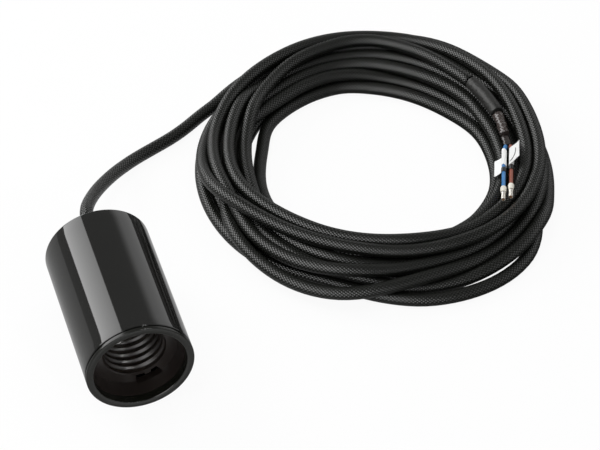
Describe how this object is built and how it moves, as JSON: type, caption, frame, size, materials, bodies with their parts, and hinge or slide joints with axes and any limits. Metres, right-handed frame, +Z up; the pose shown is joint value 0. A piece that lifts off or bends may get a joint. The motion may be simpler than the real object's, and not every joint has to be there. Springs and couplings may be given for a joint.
{
  "type": "pendant cord set",
  "caption": "Pendant lampholder in a gloss black cylinder with a long black braided cord, coiled, and a free end prepared with labels and ferrules.",
  "frame": {"origin": "on the floor, under the middle of the holder, which lies on its side", "axes": "+Y along the holder's axis from its mouth to its closed end, +Z up from the floor"},
  "size_m": [0.2346, 0.1924, 0.045],
  "materials": {
    "shell": "gloss black lacquer",
    "ring": "gloss black",
    "moulding": "dark brown, semi-gloss",
    "base": "ivory moulding",
    "contact_brass": "drawn",
    "zinc": "zinc plated",
    "bush": "black nylon",
    "braid": "black textile braid",
    "shrink": "matte black shrink sleeve",
    "clear_sleeve": "glossy brown sleeve",
    "label": "white film",
    "core_blue": "satin blue insulation",
    "core_brown": "satin brown insulation",
    "ferrule": "off-white collar",
    "tinned": "tinned tube",
    "copper": "bare copper strands"
  },
  "bodies": {
    "root": {"outer_shell": "shell", "front_ring": "ring", "socket_core": "moulding", "contact_base": "base", "centre_contact": "contact_brass", "side_contact": "contact_brass", "centre_rivet": "contact_brass", "side_rivet": "contact_brass", "terminal_blue": "contact_brass", "terminal_brown": "contact_brass", "terminal_screw_blue": "zinc", "terminal_screw_brown": "zinc", "cord_rest": "base", "clamp_bar": "zinc", "clamp_screw_left": "zinc", "clamp_screw_right": "zinc", "cord_end_inside": "braid", "inner_core_blue": "core_blue", "inner_core_brown": "core_brown", "cord_bushing": "bush", "cord_lead": "braid", "cord_coil": "braid", "cord_tail": "braid", "end_sleeve": "shrink", "clear_sleeve": "clear_sleeve", "twin_sleeve": "clear_sleeve", "core_blue": "core_blue", "label_blue": "label", "band_blue": "shrink", "ferrule_collar_blue": "ferrule", "ferrule_tube_blue": "tinned", "conductor_blue": "copper", "core_brown": "core_brown", "label_brown": "label", "band_brown": "shrink", "ferrule_collar_brown": "ferrule", "ferrule_tube_brown": "tinned", "conductor_brown": "copper"}
  },
  "joints": []
}
